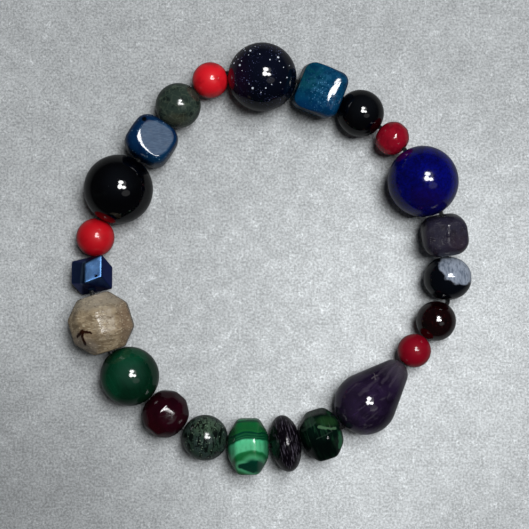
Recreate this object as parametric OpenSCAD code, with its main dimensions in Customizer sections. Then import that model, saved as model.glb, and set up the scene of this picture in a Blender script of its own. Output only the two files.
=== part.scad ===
// Beaded stretch bracelet: 23 mixed stone beads threaded edge to edge on one
// closed ring of elastic cord, lying flat as it does when it is taken off.
// Lengths are in millimetres. The loop grows and closes again by itself when
// the size of any bead changes.

/* [Elastic] */
// Thickness of the elastic cord
elastic_d = 0.8; // [0.6:0.1:1]
// Play between the elastic and the wall of each bore
bore_play = 0.25; // [0.15:0.05:0.35]
// Smallest gap between two neighbouring beads
bead_gap = 0.05; // [0.05:0.05:0.3]

/* [Round beads] */
// Diameter of the bright red bead at the top of the loop
red_top_d = 6.2; // [5:0.1:7]
// Diameter of the dark glittering bead
goldstone_d = 11.8; // [10:0.1:13]
// Diameter of the small black bead
small_black_d = 8.1; // [7:0.1:9]
// Diameter of the deep blue bead
lapis_d = 12.2; // [10:0.1:13]
// Diameter of the dark brown red bead
garnet_d = 6.9; // [6:0.1:8]
// Diameter of the cherry red bead
cherry_d = 5.8; // [5:0.1:7]
// Diameter of the speckled green bead
speckled_d = 7.9; // [7:0.1:9]
// Diameter of the deep green bead
green_d = 10.2; // [9:0.1:11]
// Diameter of the bright red bead on the left
red_left_d = 6.6; // [5:0.1:7]
// Diameter of the large black bead
large_black_d = 11.9; // [10:0.1:13]
// Diameter of the grey green bead
moss_d = 7.8; // [7:0.1:9]

/* [Faceted balls] */
// Size across the flats of the small dark red ball
red_faceted_d = 5.8; // [5:0.1:7]
// Size across the flats of the black and white ball
snowflake_d = 8.2; // [7:0.1:9]
// Size across the flats of the wine red ball
wine_d = 8.1; // [7:0.1:9]
// Facets round the middle of each faceted ball
ball_facets = 10; // [8:2:14]

/* [Beige cut bead] */
// Length along the bore
beige_l = 10; // [9:0.1:11]
// Size across the flats
beige_w = 10.6; // [9:0.1:11]
// Length of its straight belt
beige_belt = 4.3; // [3:0.1:5]
// Size across the flats of its drilled ends
beige_end = 5.6; // [4:0.1:6]
// Number of sides
beige_sides = 10; // [8:2:12]

/* [Malachite barrel] */
// Length along the bore
malachite_l = 7; // [6:0.1:8]
// Size across the flats
malachite_w = 9.6; // [8:0.1:10]
// Length of its straight belt
malachite_belt = 3.7; // [2:0.1:4.5]
// Size across the flats of its drilled ends
malachite_end = 4.4; // [3:0.1:6]
// Number of sides
malachite_sides = 8; // [8:2:12]

/* [Dark green barrel] */
// Length along the bore
dark_green_l = 6.9; // [6:0.1:8]
// Size across the flats
dark_green_w = 8.2; // [7:0.1:9]
// Length of its straight belt
dark_green_belt = 3.4; // [2:0.1:4.5]
// Size across the flats of its drilled ends
dark_green_end = 4.4; // [3:0.1:6]
// Number of sides
dark_green_sides = 6; // [6:2:10]

/* [Tumbled cubes] */
// Length of the teal cube along the bore
teal_l = 7.9; // [7:0.1:9]
// Width and height of the teal cube
teal_w = 8.4; // [7:0.1:9]
// Length of the navy cube along the bore
navy_l = 7.7; // [7:0.1:9]
// Width and height of the navy cube
navy_w = 8.4; // [7:0.1:9]
// Radius of the worn corners of both cubes
tumbled_r = 2.4; // [1.5:0.1:3]

/* [Purple cube] */
// Length along the bore
purple_l = 6.9; // [6:0.1:8]
// Width and height
purple_w = 7.9; // [6:0.1:8]
// Width of the cut along its edges
purple_cut = 1.6; // [1:0.1:2]

/* [Blue metal cube] */
// Length along the bore between its farthest corners
metal_l = 5.9; // [5:0.1:7]
// Width across its widest pair of edges
metal_w = 7.1; // [6:0.1:8]
// Height between its top and bottom faces
metal_h = 6.2; // [5:0.1:7]

/* [Amethyst drop] */
// Length along the bore
drop_l = 14.8; // [13:0.1:17]
// Diameter of the wide end
drop_wide_d = 10.7; // [9:0.1:12]
// Diameter of the narrow end
drop_narrow_d = 5.2; // [4:0.1:6]

/* [Black disc bead] */
// Length along the bore
disc_l = 5.3; // [4:0.1:6]
// Diameter
disc_d = 9.8; // [8:0.1:11]

/* [Hidden] */
$fn = 64;

bore_d = elastic_d + 2 * bore_play;
cut_past = 1;           // how far a cutting tool runs past the stone
hull_fn = 20;           // fineness of the balls inside a hull

// Size from corner to corner of a figure with n sides, from its size across
// the flats
function over_corners(flats, n) = flats / cos(180 / n);

// A faceted ball's length along its bore, the length of its middle facets, and
// the size across its flat drilled ends, where the steepest facets meet them
ball_tilt = 66;
function ball_long(d) = 0.94 * d;
function ball_belt(d) = 0.39 * d;
function ball_end(d) = (d - ball_long(d) * sin(ball_tilt)) / cos(ball_tilt);

// The string of beads, clockwise from the top left. Columns: name, length
// along the bore, width, height as it lies, length of its straight belt, size
// across its flat drilled end (0 on a round bead), turn about its own bore,
// then the joint that follows it: how far that joint stands out from the mean
// loop, as a share of the loop's radius, and its height, as a share of the
// mean half height of the two beads that meet there. These shares follow the
// way the loop lies.
NAME = 0; LONG = 1; WIDE = 2; TALL = 3; BELT = 4; END = 5; TURN = 6; OUT = 7; UP = 8;
function ball(name, d, out, up) = [name, d, d, d, 0, 0, 0, out, up];
function cut_ball(name, d, turn, out, up) =
    [name, ball_long(d), d, d, ball_belt(d), ball_end(d), turn, out, up];
function tumbled(name, long, width, out, up) =
    [name, long, width, width, long - 2 * tumbled_r, width - 2 * tumbled_r, 0, out, up];
disc_end = 0.25 * disc_d;   // the part of the disc's oval side that is nearly flat
BEADS = [
    ball("red_bead_top", red_top_d, 0.07, 1.21),
    ball("goldstone_bead", goldstone_d, 0.005, 1.27),
    tumbled("teal_cube_bead", teal_l, teal_w, -0.02, 1.26),
    ball("small_black_bead", small_black_d, -0.035, 1.24),
    cut_ball("red_faceted_bead", red_faceted_d, 0, -0.03, 1.26),
    ball("lapis_bead", lapis_d, -0.015, 1.3),
    ["purple_cube_bead", purple_l, purple_w, purple_w, purple_l - 2 * purple_cut,
        purple_w - 2 * purple_cut, 0, -0.015, 1.3],
    cut_ball("snowflake_bead", snowflake_d, 0, 0.02, 1.11),
    ball("garnet_bead", garnet_d, -0.035, 1.4),
    ball("cherry_bead", cherry_d, -0.065, 1.28),
    ["amethyst_drop", drop_l, drop_wide_d, drop_wide_d, 0, 0, 0, 0.01, 1.1],
    ["dark_green_barrel", dark_green_l, dark_green_w, over_corners(dark_green_w, dark_green_sides),
        dark_green_belt, dark_green_end, 20, 0.015, 1],
    ["black_disc_bead", disc_l, disc_d, disc_d, 0, disc_end, 0, 0.03, 1.07],
    ["malachite_barrel", malachite_l, malachite_w, malachite_w, malachite_belt, malachite_end, 0, 0.06, 1.08],
    ball("speckled_bead", speckled_d, 0.055, 0.98),
    cut_ball("wine_faceted_bead", wine_d, 0, 0.025, 1),
    ball("green_bead", green_d, 0.02, 1.08),
    ["beige_cut_bead", beige_l, beige_w, over_corners(beige_w, beige_sides), beige_belt, beige_end,
        180 / beige_sides, 0.005, 1.26],
    ["blue_metal_cube", metal_l, metal_w, metal_h, metal_l / 2, metal_w / 2, 0, -0.01, 1.27],
    ball("red_bead_left", red_left_d, -0.02, 1.17),
    ball("large_black_bead", large_black_d, -0.085, 1.31),
    tumbled("navy_cube_bead", navy_l, navy_w, -0.035, 1.33),
    ball("moss_bead", moss_d, 0.055, 1.24),
];
COUNT = len(BEADS);
start_turn = -23.9;       // where the joint before the first bead lies

function next_of(k) = (k + 1) % COUNT;
function before(k) = (k + COUNT - 1) % COUNT;

// Height of each joint; joint k follows bead k
JOINT_Z = [for (k = [0 : COUNT - 1])
    BEADS[k][UP] * (BEADS[k][TALL] + BEADS[next_of(k)][TALL]) / 4];

// Stretch of elastic taken by each bead with the room at its two ends, seen
// from above
function plan_lengths(rooms) = [for (k = [0 : COUNT - 1])
    let (s = BEADS[k][LONG] + (rooms[before(k)] + rooms[k]) / 2,
         rise = JOINT_Z[k] - JOINT_Z[before(k)])
    sqrt(s * s - rise * rise)];

// Angle that bead k takes up round a loop of mean radius r
function joint_r(r, k) = r * (1 + BEADS[k][OUT]);
function bead_angle(r, k, plan) =
    let (a = joint_r(r, before(k)), b = joint_r(r, k))
    acos((a * a + b * b - plan[k] * plan[k]) / (2 * a * b));
function total(list, k = 0) = k == len(list) ? 0 : list[k] + total(list, k + 1);
function all_angles(r, plan) = [for (k = [0 : COUNT - 1]) bead_angle(r, k, plan)];

// The mean radius at which the beads just close the loop, found by halving
function closing_r(plan, low, high, tries = 40) =
    let (mid = (low + high) / 2)
    tries == 0 ? mid
    : total(all_angles(mid, plan)) > 360 ? closing_r(plan, mid, high, tries - 1)
    : closing_r(plan, low, mid, tries - 1);

// Joint points of the loop for a list of rooms between the beads
function joint_points(rooms) =
    let (plan = plan_lengths(rooms),
         girth = total(plan),
         r = closing_r(plan, girth / 8, girth / 4),
         angles = all_angles(r, plan))
    [for (k = 0, a = start_turn + angles[0]; k < COUNT;
          k = k + 1, a = a + (k < COUNT ? angles[k] : 0))
        [joint_r(r, k) * sin(a), joint_r(r, k) * cos(a), JOINT_Z[k]]];

function unit(v) = v / norm(v);
function heading(points, k) = unit(points[k] - points[before(k)]);

// Room that two beads need where the elastic turns between them, so that
// their rims or cheeks clear each other by the gap
function room(points, k) =
    let (a = BEADS[k], b = BEADS[next_of(k)],
         cosine = heading(points, k) * heading(points, next_of(k)),
         turn = acos(cosine))
    bead_gap + (
        a[END] > 0 && b[END] > 0 ? min(a[END], b[END]) / 2 * sin(turn)
        : a[END] > 0 ? b[WIDE] / 2 * (1 - cosine)
        : b[END] > 0 ? a[WIDE] / 2 * (1 - cosine)
        : a[WIDE] * b[WIDE] / (a[WIDE] + b[WIDE]) / 2 * (1 - cosine));

// A first loop with plain gaps gives the turns; the second has the rooms
FIRST = joint_points([for (k = [0 : COUNT - 1]) bead_gap]);
ROOMS = [for (k = [0 : COUNT - 1]) room(FIRST, k)];
LOOSE = joint_points(ROOMS);

function bead_centre(points, k) = points[before(k)]
    + heading(points, k) * (ROOMS[before(k)] + BEADS[k][LONG]) / 2;

// The loop is moved so that it stands on z = 0 with its middle over the origin
CENTRES = [for (k = [0 : COUNT - 1]) bead_centre(LOOSE, k)];
function half_size(k, axis) = axis < 2 ? BEADS[k][WIDE] / 2
    : let (slope = heading(LOOSE, k).z)
        (BEADS[k][TALL] * sqrt(1 - slope * slope) + BEADS[k][BELT] * abs(slope)) / 2;
function reach(axis, sign) = max([for (k = [0 : COUNT - 1])
    sign * CENTRES[k][axis] + half_size(k, axis)]);
SHIFT = [(reach(0, -1) - reach(0, 1)) / 2, (reach(1, -1) - reach(1, 1)) / 2, reach(2, -1)];
JOINTS = [for (p = LOOSE) p + SHIFT];

// Places its child on the elastic, with the child's bore along X
module on_string(name) {
    k = search([name], BEADS)[0];
    way = heading(JOINTS, k);
    translate(bead_centre(JOINTS, k))
        rotate([BEADS[k][TURN], -asin(way.z), atan2(way.y, way.x)])
            children();
}

// Drills its child along X
module drilled(long) {
    difference() {
        children();
        rotate([0, 90, 0]) cylinder(d = bore_d, h = long + 2 * cut_past, center = true);
    }
}

// The flat-sided solid that just holds the given points
module around(points) {
    hull() polyhedron(points = points, faces = [[for (i = [0 : len(points) - 1]) i]]);
}

// A ball turned with its bore, as a half disc spun round the elastic
module round_bead(d) {
    rotate([0, 90, 0]) rotate_extrude() difference() {
        circle(d = d);
        translate([bore_d / 2 - d, -d]) square([d, 2 * d]);
    }
}

// A ball ground flat all over: rows of facets round the bore, every other
// row set half a step round, and a flat at each drilled end. Rows: tilt of
// the facets towards the end, half steps round.
BALL_ROWS = [[0, 0], [36, 1], [-36, 1], [ball_tilt, 0], [-ball_tilt, 0]];
module faceted_ball(d) {
    step = 360 / ball_facets;
    drilled(d) intersection() {
        cube([ball_long(d), 2 * d, 2 * d], center = true);
        intersection_for (row = BALL_ROWS)
            intersection_for (i = [0 : ball_facets - 1])
                rotate([(i + row[1] / 2) * step, 0, 0]) rotate([0, row[0], 0])
                    translate([0, 0, -d / 2]) cube(2 * d, center = true);
    }
}

// A barrel with flat sides: a straight belt, and bevels down to its ends
module cut_barrel(long, width, belt, end, sides) {
    sections = [[-long / 2, end], [-belt / 2, width], [belt / 2, width], [long / 2, end]];
    drilled(long) around([for (s = sections, i = [0 : sides - 1])
        let (r = over_corners(s[1], sides) / 2, a = (i + 0.5) * 360 / sides)
        [s[0], r * sin(a), r * cos(a)]]);
}

// A cube with ball-shaped corners
module tumbled_cube(long, width) {
    x = long / 2 - tumbled_r;
    y = width / 2 - tumbled_r;
    drilled(long) hull()
        for (sx = [-1, 1], sy = [-1, 1], sz = [-1, 1])
            translate([sx * x, sy * y, sz * y]) sphere(r = tumbled_r, $fn = hull_fn);
}

module red_bead_top() { color("crimson") on_string("red_bead_top") round_bead(red_top_d); }
module goldstone_bead() { color("midnightblue") on_string("goldstone_bead") round_bead(goldstone_d); }
module teal_cube_bead() { color("teal") on_string("teal_cube_bead") tumbled_cube(teal_l, teal_w); }
module small_black_bead() { color("black") on_string("small_black_bead") round_bead(small_black_d); }
module red_faceted_bead() { color("firebrick") on_string("red_faceted_bead") faceted_ball(red_faceted_d); }
module lapis_bead() { color("darkblue") on_string("lapis_bead") round_bead(lapis_d); }

// A cube with all its edges and corners cut off flat
module purple_cube_bead() {
    inner = purple_w - 2 * purple_cut;
    color("dimgray") on_string("purple_cube_bead") drilled(purple_l) hull() {
        cube([purple_l, inner, inner], center = true);
        cube([purple_l - 2 * purple_cut, purple_w, inner], center = true);
        cube([purple_l - 2 * purple_cut, inner, purple_w], center = true);
    }
}

module snowflake_bead() { color("slategray") on_string("snowflake_bead") faceted_ball(snowflake_d); }
module garnet_bead() { color("maroon") on_string("garnet_bead") round_bead(garnet_d); }
module cherry_bead() { color("crimson") on_string("cherry_bead") round_bead(cherry_d); }

// A teardrop: two balls in line and the cone that touches both, wide end last
module amethyst_drop() {
    wide = drop_wide_d / 2;
    narrow = drop_narrow_d / 2;
    wide_at = drop_l / 2 - wide;
    narrow_at = narrow - drop_l / 2;
    lean = asin((wide - narrow) / (wide_at - narrow_at));
    color("indigo") on_string("amethyst_drop") drilled(drop_l) rotate([0, 90, 0])
        rotate_extrude() intersection() {
            union() {
                translate([0, wide_at]) circle(r = wide);
                translate([0, narrow_at]) circle(r = narrow);
                polygon([[0, narrow_at], [narrow * cos(lean), narrow_at - narrow * sin(lean)],
                    [wide * cos(lean), wide_at - wide * sin(lean)], [0, wide_at]]);
            }
            translate([0, -drop_l]) square([drop_wide_d, 2 * drop_l]);
        }
}

module dark_green_barrel() {
    color("darkgreen") on_string("dark_green_barrel")
        cut_barrel(dark_green_l, dark_green_w, dark_green_belt, dark_green_end, dark_green_sides);
}

// A smooth disc with an oval edge
DISC_STEPS = 16;
module black_disc_bead() {
    color("black") on_string("black_disc_bead") drilled(disc_l) rotate([0, 90, 0])
        rotate_extrude() polygon([for (i = [0 : DISC_STEPS])
            let (a = 180 * i / DISC_STEPS - 90)
            [disc_d / 2 * cos(a), disc_l / 2 * sin(a)]]);
}

module malachite_barrel() {
    color("seagreen") on_string("malachite_barrel")
        cut_barrel(malachite_l, malachite_w, malachite_belt, malachite_end, malachite_sides);
}

module speckled_bead() { color("darkseagreen") on_string("speckled_bead") round_bead(speckled_d); }
module wine_faceted_bead() { color("maroon") on_string("wine_faceted_bead") faceted_ball(wine_d); }
module green_bead() { color("green") on_string("green_bead") round_bead(green_d); }

module beige_cut_bead() {
    color("tan") on_string("beige_cut_bead")
        cut_barrel(beige_l, beige_w, beige_belt, beige_end, beige_sides);
}

// A six-sided block whose ends are cut askew. Each row is one long edge on
// the upper half: its place across and up, and where it starts and ends along
// the bore, all as shares of the block's size. The lower half is the same
// turned end for end.
METAL_EDGES = [[0.5, 0.06, -0.25, 0.41], [0.15, 0.5, -0.36, 0.25], [-0.28, 0.5, -0.16, 0.5]];
module blue_metal_cube() {
    color("steelblue") on_string("blue_metal_cube") drilled(metal_l) around(
        [for (e = METAL_EDGES, end = [2, 3], side = [-1, 1])
            side * [e[end] * metal_l, e[0] * metal_w, e[1] * metal_h]]);
}

module red_bead_left() { color("crimson") on_string("red_bead_left") round_bead(red_left_d); }
module large_black_bead() { color("black") on_string("large_black_bead") round_bead(large_black_d); }
module navy_cube_bead() { color("navy") on_string("navy_cube_bead") tumbled_cube(navy_l, navy_w); }
module moss_bead() { color("darkslategray") on_string("moss_bead") round_bead(moss_d); }

// The elastic runs straight through each bore and bends at each joint. Three
// rings of points at each joint round the bend off.
elastic_bend = 0.6;     // how far from a joint the bend starts
elastic_sides = 8;
ELASTIC = [for (k = [0 : COUNT - 1])
    let (j = JOINTS[k], a = heading(JOINTS, k), b = heading(JOINTS, next_of(k)),
         mid = unit(a + b))
    each [[j - a * elastic_bend, a], [j + (b - a) * elastic_bend / 4, mid],
          [j + b * elastic_bend, b]]];

module elastic_cord() {
    rings = len(ELASTIC);
    points = [for (ring = ELASTIC)
        let (side = unit(cross([0, 0, 1], ring[1])), top = cross(ring[1], side))
        for (i = [0 : elastic_sides - 1])
            let (a = 360 * i / elastic_sides)
            ring[0] + (side * cos(a) + top * sin(a)) * elastic_d / 2];
    faces = [for (r = [0 : rings - 1], i = [0 : elastic_sides - 1])
        let (here = r * elastic_sides, there = (r + 1) % rings * elastic_sides,
             j = (i + 1) % elastic_sides)
        each [[here + j, here + i, there + j], [there + j, here + i, there + i]]];
    color("whitesmoke") polyhedron(points = points, faces = faces);
}

red_bead_top();
goldstone_bead();
teal_cube_bead();
small_black_bead();
red_faceted_bead();
lapis_bead();
purple_cube_bead();
snowflake_bead();
garnet_bead();
cherry_bead();
amethyst_drop();
dark_green_barrel();
black_disc_bead();
malachite_barrel();
speckled_bead();
wine_faceted_bead();
green_bead();
beige_cut_bead();
blue_metal_cube();
red_bead_left();
large_black_bead();
navy_cube_bead();
moss_bead();
elastic_cord();
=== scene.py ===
"""Beaded stretch bracelet: the looks of its 23 stone beads and its elastic.

Every piece sits where the loaded frame has it. Lengths inside the material
and mesh helpers are in millimetres from the middle of a bead, so a vein or a
patch is placed as it would be measured on the stone.
"""

import math

import bmesh
import bpy
from mathutils import Matrix, Vector


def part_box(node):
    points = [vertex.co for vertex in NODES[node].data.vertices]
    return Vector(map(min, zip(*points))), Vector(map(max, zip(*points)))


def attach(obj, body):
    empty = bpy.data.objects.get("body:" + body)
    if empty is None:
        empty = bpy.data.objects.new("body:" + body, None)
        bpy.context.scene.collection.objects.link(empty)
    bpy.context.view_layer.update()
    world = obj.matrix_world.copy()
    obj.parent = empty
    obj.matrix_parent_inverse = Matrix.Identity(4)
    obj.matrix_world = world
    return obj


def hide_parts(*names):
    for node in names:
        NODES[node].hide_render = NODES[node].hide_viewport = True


bl_info = {
    "name": "Beaded Stretch Bracelet",
    "version": (1, 0, 0),
    "blender": (4, 5, 0),
    "location": "View3D > Sidebar > Bracelet",
    "description": "Gives a string of mixed stone beads its shapes and polished stone finishes",
    "category": "Object",
}

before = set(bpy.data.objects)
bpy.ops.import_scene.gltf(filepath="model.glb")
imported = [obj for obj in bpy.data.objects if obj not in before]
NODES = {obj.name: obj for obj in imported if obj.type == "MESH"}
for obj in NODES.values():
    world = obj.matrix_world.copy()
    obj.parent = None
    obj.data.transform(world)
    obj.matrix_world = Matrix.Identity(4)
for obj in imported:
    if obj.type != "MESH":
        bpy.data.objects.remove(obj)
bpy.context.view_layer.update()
MM = 0.001
# Radius of the hole through every bead, in millimetres
BORE_R = 0.65
# Corners of a CAD mesh are the same where they agree to so many decimals of a
# metre, and its faces are one facet where the ways that they face do
CORNER_DECIMALS = 7
FACING_DECIMALS = 2
# How near to the line of its hole a bead's rim points are looked for, in
# millimetres: each narrower search starts from the line that the last one found
RIM_SEARCH = (2.6, 1.7, 1.1, 0.85, 0.72)
# The search for a surface along a ray: its length in millimetres, and its steps
RAY_REACH = 12.0
HALVINGS = 24

# How much light the lamps throw on the floor: a white surface shows this bright
LIGHT_LEVEL = 1.25

# Sockets of a colour mix node: its share and two colours, and what it gives
MIX_INPUTS = (0, 6, 7)
MIX_RESULT = 2
# Vector operations that give a plain number
MEASURES = ("LENGTH", "DISTANCE", "DOT_PRODUCT")

# The beads in the order of the string, clockwise from the top left
STRING = (
    "red_bead_top", "goldstone_bead", "teal_cube_bead", "small_black_bead",
    "red_faceted_bead", "lapis_bead", "purple_cube_bead", "snowflake_bead",
    "garnet_bead", "cherry_bead", "amethyst_drop", "dark_green_barrel",
    "black_disc_bead", "malachite_barrel", "speckled_bead", "wine_faceted_bead",
    "green_bead", "beige_cut_bead", "blue_metal_cube", "red_bead_left",
    "large_black_bead", "navy_cube_bead", "moss_bead",
)


def seen(red, green, blue, light=LIGHT_LEVEL):
    """Linear colour of a surface that shows these 0 to 255 values in that light."""
    def linear(value):
        share = value / 255
        return share / 12.92 if share <= 0.04045 else ((share + 0.055) / 1.055) ** 2.4
    return tuple(linear(value) / light for value in (red, green, blue))


# Settings

def colour(name, description, default):
    return bpy.props.FloatVectorProperty(
        name=name, description=description, subtype="COLOR", size=3,
        min=0, max=1, default=seen(*default))


def length(name, description, millimetres):
    return bpy.props.FloatProperty(
        name=name, description=description, subtype="DISTANCE", unit="LENGTH",
        min=0, default=millimetres * MM)


class StoneColours(bpy.types.PropertyGroup):
    """Main and second colour of each kind of stone"""
    bright_red: colour("Bright red", "Body of the bright red beads", (226, 24, 38))
    bright_red_shade: colour("Bright red shade", "Cloudy parts of the bright red beads", (166, 4, 20))
    goldstone: colour("Goldstone", "Body of the glittering bead", (2, 5, 17))
    # the glitter grains of the goldstone, painted this white where they glint
    goldstone_glint: colour("Goldstone fleck", "Glitter in the dark bead", (228, 236, 250))
    teal: colour("Teal", "Body of the teal cube", (3, 60, 95))
    teal_green: colour("Teal green", "Greener corner of the teal cube", (8, 68, 84))
    onyx: colour("Onyx", "Body of the black beads", (1, 1, 3))
    raspberry: colour("Raspberry", "Body of the small faceted bead", (166, 18, 42))
    lapis: colour("Lapis", "Body of the deep blue bead", (4, 8, 106))
    lapis_shade: colour("Lapis shade", "Darker clouds in the deep blue bead", (3, 2, 64))
    purple_grey: colour("Purple grey", "Body of the rounded purple cube", (41, 39, 54))
    snowflake: colour("Snowflake", "Dark part of the black and white bead", (4, 7, 14))
    snowflake_white: colour("Snowflake white", "Pale patch of the black and white bead", (150, 160, 176))
    garnet: colour("Garnet", "Body of the dark brown red bead", (48, 7, 13))
    cherry: colour("Cherry", "Body of the cherry red bead", (134, 5, 28))
    amethyst: colour("Amethyst", "Body of the drop", (76, 54, 100))
    tiger_green: colour("Tiger eye green", "Dark body of the six-sided barrel", (4, 20, 15))
    tiger_silk: colour("Tiger eye silk", "Silky stripes of the six-sided barrel", (40, 84, 56))
    disc_black: colour("Disc black", "Body of the flat disc", (10, 7, 13))
    disc_streak: colour("Disc streak", "Pale streaks of the flat disc", (108, 102, 116))
    malachite: colour("Malachite", "Mid green bands", (14, 100, 50))
    malachite_mint: colour("Malachite mint", "Palest bands", (88, 192, 140))
    malachite_dark: colour("Malachite dark", "Darkest bands and the eye", (0, 58, 42))
    speckled: colour("Speckled green", "Ground of the speckled bead", (40, 58, 48))
    wine: colour("Wine", "Body of the large faceted red bead", (46, 5, 20))
    cat_green: colour("Deep green", "Body of the silky green bead", (3, 40, 24))
    cat_silk: colour("Green silk", "Brighter band of the silky green bead", (5, 72, 46))
    beige: colour("Beige", "Body of the beige cut bead", (162, 146, 120))
    beige_pale: colour("Beige pale", "Palest parts of the beige cut bead", (170, 158, 138))
    metal: colour("Blue metal", "Coating of the metal cube", (66, 98, 138))
    navy: colour("Navy", "Body of the navy cube", (6, 42, 78))
    moss: colour("Moss", "Ground of the grey green bead", (44, 57, 51))
    elastic: colour("Elastic", "Clear elastic cord", (76, 78, 78))
    floor: colour("Floor", "Plain surface under the bracelet", (182, 186, 188))


class BraceletSizes(bpy.types.PropertyGroup):
    """Small shapes of the beads, and the set that they are shown on"""
    rim: length("Drill rim", "Width of the bevel round each drilled hole", 0.15)
    rings: bpy.props.IntProperty(
        name="Rings", description="Rows of points along a shaped bead", min=24, default=104)
    sides: bpy.props.IntProperty(
        name="Sides", description="Points round a shaped bead", min=24, default=160)
    floor: length("Floor size", "Side of the floor", 1600)
    camera_height: length("Camera height", "Height of the camera over the floor", 300)
    light_distance: length("Light distance", "Distance from the bracelet to the lamps", 1000)


# Where each bead lies

class Bead:
    """A bead's place and its own axes: X along the hole, Z up. Its half sizes
    are in millimetres from the middle of the hole."""

    def __init__(self, name):
        index = STRING.index(name)
        before = STRING[index - 1]
        after = STRING[(index + 1) % len(STRING)]
        corners = {tuple(round(value, CORNER_DECIMALS) for value in vertex.co)
                   for vertex in NODES[name].data.vertices}
        points = [Vector(corner) for corner in corners]
        middle = box_middle(name)
        way = (box_middle(after) - box_middle(before)).normalized()
        for reach in RIM_SEARCH:
            middle, way = rims(points, middle, way, reach * MM)
        up = (Vector((0, 0, 1)) - way * way.z).normalized()
        self.name = name
        self.middle = middle
        self.turn = Matrix((way, up.cross(way), up)).transposed()
        places = [self.own(point - middle) / MM for point in points]
        self.half = [max(abs(place[axis]) for place in places) for axis in range(3)]

    def own(self, direction):
        """A direction, or an offset from the bead's middle, in the bead's own axes."""
        return self.turn.transposed() @ Vector(direction)

    def facets(self):
        """The flat faces of the CAD stone: where each faces, and how far out it lies."""
        found = {}
        for polygon in NODES[self.name].data.polygons:
            facing = self.own(polygon.normal)
            distance = facing.dot(self.own(polygon.center - self.middle)) / MM
            # the wall of the hole lies nearer to its line than this
            if distance > 1.5 * BORE_R:
                found[tuple(round(value, FACING_DECIMALS) for value in facing)] = (facing, distance)
        return list(found.values())

    def matrix(self):
        """From millimetres in the bead's own axes to the frame."""
        return Matrix.Translation(self.middle) @ self.turn.to_4x4() @ Matrix.Scale(MM, 4)


def box_middle(name):
    low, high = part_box(name)
    return (low + high) / 2


def rims(points, middle, way, reach):
    """Middle and direction of a hole, from the points close to a first guess of it."""
    ends = {True: [], False: []}
    for point in points:
        offset = point - middle
        along = offset.dot(way)
        if (offset - way * along).length < reach:
            ends[along > 0].append(point)
    first = sum(ends[False], Vector()) / len(ends[False])
    last = sum(ends[True], Vector()) / len(ends[True])
    return (first + last) / 2, (last - first).normalized()


# Meshes

def new_piece(name, node, mesh):
    """A finished mesh that stands for a CAD node and rides with it."""
    piece = bpy.data.objects.new(name, mesh)
    bpy.context.scene.collection.objects.link(piece)
    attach(piece, "root")
    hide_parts(node)
    return piece


def put_on(piece, material):
    piece.data.materials.clear()
    piece.data.materials.append(material)


def spun_piece(name, bead, reach, rim, rings, sides):
    """A drilled bead: rows of points from one end of the hole over the stone to
    the other end, and the wall of the hole between them. Reach gives the
    distance from the middle to the stone's surface in a direction."""
    half_long = bead.half[0]
    pole = math.atan2(BORE_R + rim, half_long)
    rows = [ring(half_long - rim, BORE_R, sides)]
    for row in range(rings + 1):
        tilt = pole + (math.pi - 2 * pole) * row / rings
        rows.append([way * reach(way) for way in ring(math.cos(tilt), math.sin(tilt), sides)])
    rows.append(ring(rim - half_long, BORE_R, sides))
    shape = bmesh.new()
    place = bead.matrix()
    verts = [[shape.verts.new(place @ point) for point in row] for row in rows]
    for row in range(len(verts)):
        here = verts[row]
        there = verts[(row + 1) % len(verts)]
        for side in range(sides):
            after = (side + 1) % sides
            shape.faces.new((here[side], there[side], there[after], here[after]))
    bmesh.ops.recalc_face_normals(shape, faces=shape.faces)
    for face in shape.faces:
        face.smooth = True
    mesh = bpy.data.meshes.new(name)
    shape.to_mesh(mesh)
    shape.free()
    return new_piece(name, bead.name, mesh)


def ring(along, radius, sides):
    """Points round the line of the hole, at one place along it."""
    angles = [2 * math.pi * side / sides for side in range(sides)]
    return [Vector((along, radius * math.cos(angle), radius * math.sin(angle))) for angle in angles]


def rounded_facets(facets, sharpness):
    """Reach of a stone with flat facets, whose edges are sharper or rounder."""
    def reach(direction):
        total = 0.0
        for facing, distance in facets:
            share = facing.dot(direction) / distance
            if share > 0:
                total += share ** sharpness
        return total ** (-1 / sharpness)
    return reach


def worn_box(half, corner, crown):
    """Depth field, negative inside, of a box with ball-shaped corners of a
    given radius, whose faces fall off by the crown towards their edges."""
    def depth(point):
        place = (abs(point.x), abs(point.y), abs(point.z))
        share = [place[i] / half[i] for i in range(3)]
        out = 0.0
        for i in range(3):
            others = sum(share[j] ** 2 for j in range(3) if j != i)
            gap = place[i] - half[i] + crown * others + corner
            if gap > 0:
                out += gap * gap
        return math.sqrt(out) - corner
    return depth


def ground_flat(depth, facing, through, soft, dome=0.0):
    """The same stone with one flat ground on it through a point, and a soft
    edge round the flat. A domed flat falls off by dome times distance squared."""
    facing = facing.normalized()
    level = facing.dot(through)

    def ground(point):
        body = depth(point)
        flat = point.dot(facing) - level + dome * (point - through).length_squared
        blend = max(soft - abs(body - flat), 0.0)
        return max(body, flat) + blend * blend / (4 * soft)
    return ground


def field_reach(depth):
    """Reach of a stone given by its depth field, found by halving a ray."""
    def reach(direction):
        near = 0.0
        far = RAY_REACH
        for halving in range(HALVINGS):
            half = (near + far) / 2
            if depth(direction * half) < 0:
                near = half
            else:
                far = half
        return near
    return reach


def oval(half_long, half_wide, fullness):
    """Reach of a round disc whose section is an oval, fuller or flatter."""
    def reach(direction):
        radius = math.hypot(direction.y, direction.z)
        total = (abs(direction.x) / half_long) ** fullness + (radius / half_wide) ** fullness
        return total ** (-1 / fullness)
    return reach


# Nodes

def wire(tree, value, socket):
    """Links a socket, or sets a plain value."""
    if isinstance(value, bpy.types.NodeSocket):
        tree.links.new(value, socket)
    elif value is not None:
        socket.default_value = value


def math_node(tree, operation, first, second=None, clamp=False):
    node = tree.nodes.new("ShaderNodeMath")
    node.operation = operation
    node.use_clamp = clamp
    wire(tree, first, node.inputs[0])
    wire(tree, second, node.inputs[1])
    return node.outputs[0]


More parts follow.
